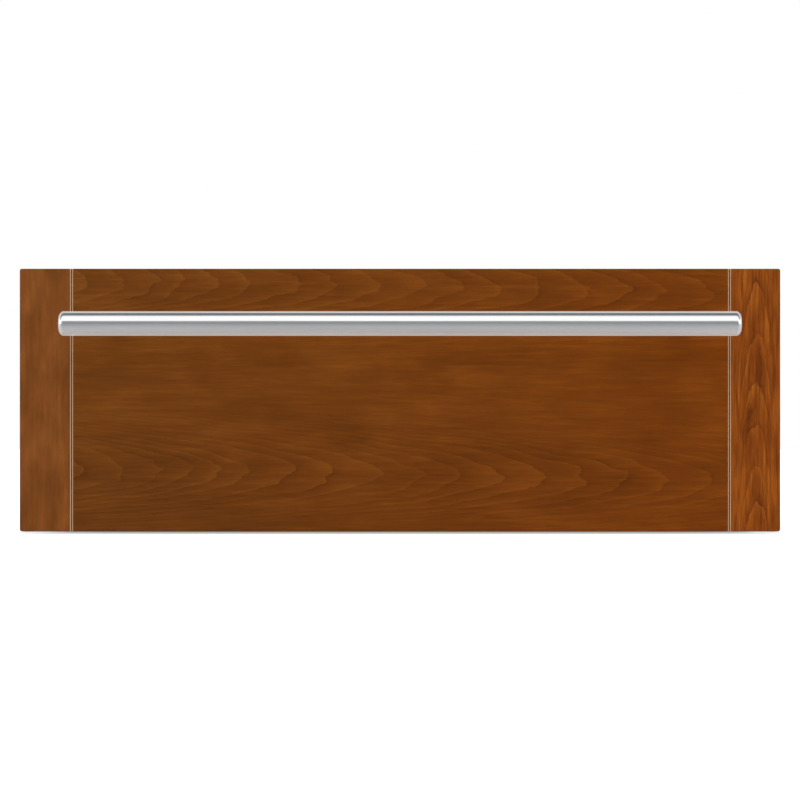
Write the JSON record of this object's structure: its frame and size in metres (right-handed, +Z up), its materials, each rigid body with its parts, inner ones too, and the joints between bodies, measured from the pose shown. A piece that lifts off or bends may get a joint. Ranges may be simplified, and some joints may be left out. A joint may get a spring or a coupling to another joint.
{
  "type": "warming drawer",
  "caption": "Insulated electric warming drawer: a steel cabinet and heater behind a wood-fronted drawer with a bar handle, on full-extension ball-bearing rails.",
  "frame": {"origin": "middle of the footprint, on the surface that the feet stand on", "axes": "+X to the right along the drawer front, +Y from the handle to the back, +Z up"},
  "size_m": [0.756, 0.6834, 0.264],
  "materials": {
    "cherry_field": "stained and lacquered flat-sawn cherry, satin",
    "cherry_stile": "stained and lacquered cherry, satin",
    "handle_steel": "brushed stainless steel tube",
    "stainless": "brushed stainless sheet",
    "rail_steel": "zinc-plated cold-rolled steel",
    "bearing_steel": "polished hardened steel",
    "galvanised": "hot-dip galvanised sheet, fine spangle",
    "screw_steel": "zinc-plated screws",
    "wool": "glass wool batt",
    "silicone": "black-grey silicone seal, matt",
    "foot_rubber": "moulded rubber, matt",
    "element": "heat-darkened nickel alloy tube",
    "brass": "turned brass",
    "cage_plastic": "natural acetal",
    "black_plastic": "moulded black nylon, fine texture",
    "knob_plastic": "moulded black phenolic, satin",
    "pale_plastic": "moulded off-white thermoset",
    "ceramic": "glazed steatite terminal block",
    "lamp": "amber moulded lens",
    "lead_insulation": "silicone-covered leads"
  },
  "bodies": {
    "cabinet": {"front_frame": "stainless", "cavity_liner": "stainless", "liner_support": "galvanised", "wool_top": "wool", "wool_bottom": "wool", "wool_sides": "wool", "wool_rear": "wool", "base_pan": "galvanised", "side_panel_left": "galvanised", "side_panel_right": "galvanised", "top_cover": "galvanised", "back_panel": "galvanised", "casing_screws": "screw_steel", "rubber_feet": "foot_rubber", "foot_screws": "screw_steel", "heating_element": "element", "element_bushings": "brass", "element_clips": "stainless", "temperature_probe": "stainless", "limit_thermostat": "black_plastic", "terminal_block": "ceramic", "terminal_bracket": "galvanised", "wiring": "lead_insulation", "cord_bushing": "black_plastic", "heat_control": "pale_plastic", "dial_plate": "stainless", "pilot_lamp": "lamp", "outer_rail_left": "rail_steel", "outer_rail_right": "rail_steel", "rail_screws": "screw_steel", "rail_supports": "galvanised"},
    "drawer": {"panel_field": "cherry_field", "panel_stile_left": "cherry_stile", "panel_stile_right": "cherry_stile", "handle_bar": "handle_steel", "handle_caps": "handle_steel", "handle_posts": "handle_steel", "handle_bolts": "screw_steel", "front_plate": "galvanised", "panel_screws": "screw_steel", "front_wool": "wool", "inner_front": "stainless", "door_seal": "silicone", "drawer_pan": "stainless", "drawer_bracket_left": "galvanised", "drawer_bracket_right": "galvanised", "drawer_screws": "screw_steel", "vent_guide": "stainless", "inner_rail_left": "rail_steel", "inner_rail_right": "rail_steel"},
    "middle_rails": {"middle_rail_left": "rail_steel", "middle_rail_right": "rail_steel"},
    "outer_bearings": {"outer_ball_cages": "cage_plastic", "outer_balls": "bearing_steel"},
    "inner_bearings": {"inner_ball_cages": "cage_plastic", "inner_balls": "bearing_steel"},
    "heat_knob": {"control_knob": "knob_plastic", "control_shaft": "rail_steel"},
    "vent": {"vent_strip": "stainless"}
  },
  "joints": [
    {"name": "drawer_slide", "type": "slide", "parent": "cabinet", "child": "drawer", "axis": [0, -1, 0], "range_m": [0, 0.44]},
    {"name": "middle_rail_slide", "type": "slide", "parent": "cabinet", "child": "middle_rails", "axis": [0, -1, 0], "range_m": [0, 0.22]},
    {"name": "outer_bearing_slide", "type": "slide", "parent": "cabinet", "child": "outer_bearings", "axis": [0, -1, 0], "range_m": [0, 0.11]},
    {"name": "inner_bearing_slide", "type": "slide", "parent": "cabinet", "child": "inner_bearings", "axis": [0, -1, 0], "range_m": [0, 0.33]},
    {"name": "heat_knob_turn", "type": "hinge", "parent": "cabinet", "child": "heat_knob", "pos_m": [0.336, -0.22825, 0.17], "axis": [0, 1, 0], "range_deg": [0, 270]},
    {"name": "vent_slide", "type": "slide", "parent": "drawer", "child": "vent", "axis": [-1, 0, 0], "range_m": [0, 0.012]}
  ],
  "couplings": [
    {"joint": "middle_rail_slide", "follows": "drawer_slide", "ratio": 0.5},
    {"joint": "outer_bearing_slide", "follows": "drawer_slide", "ratio": 0.25},
    {"joint": "inner_bearing_slide", "follows": "drawer_slide", "ratio": 0.75}
  ]
}
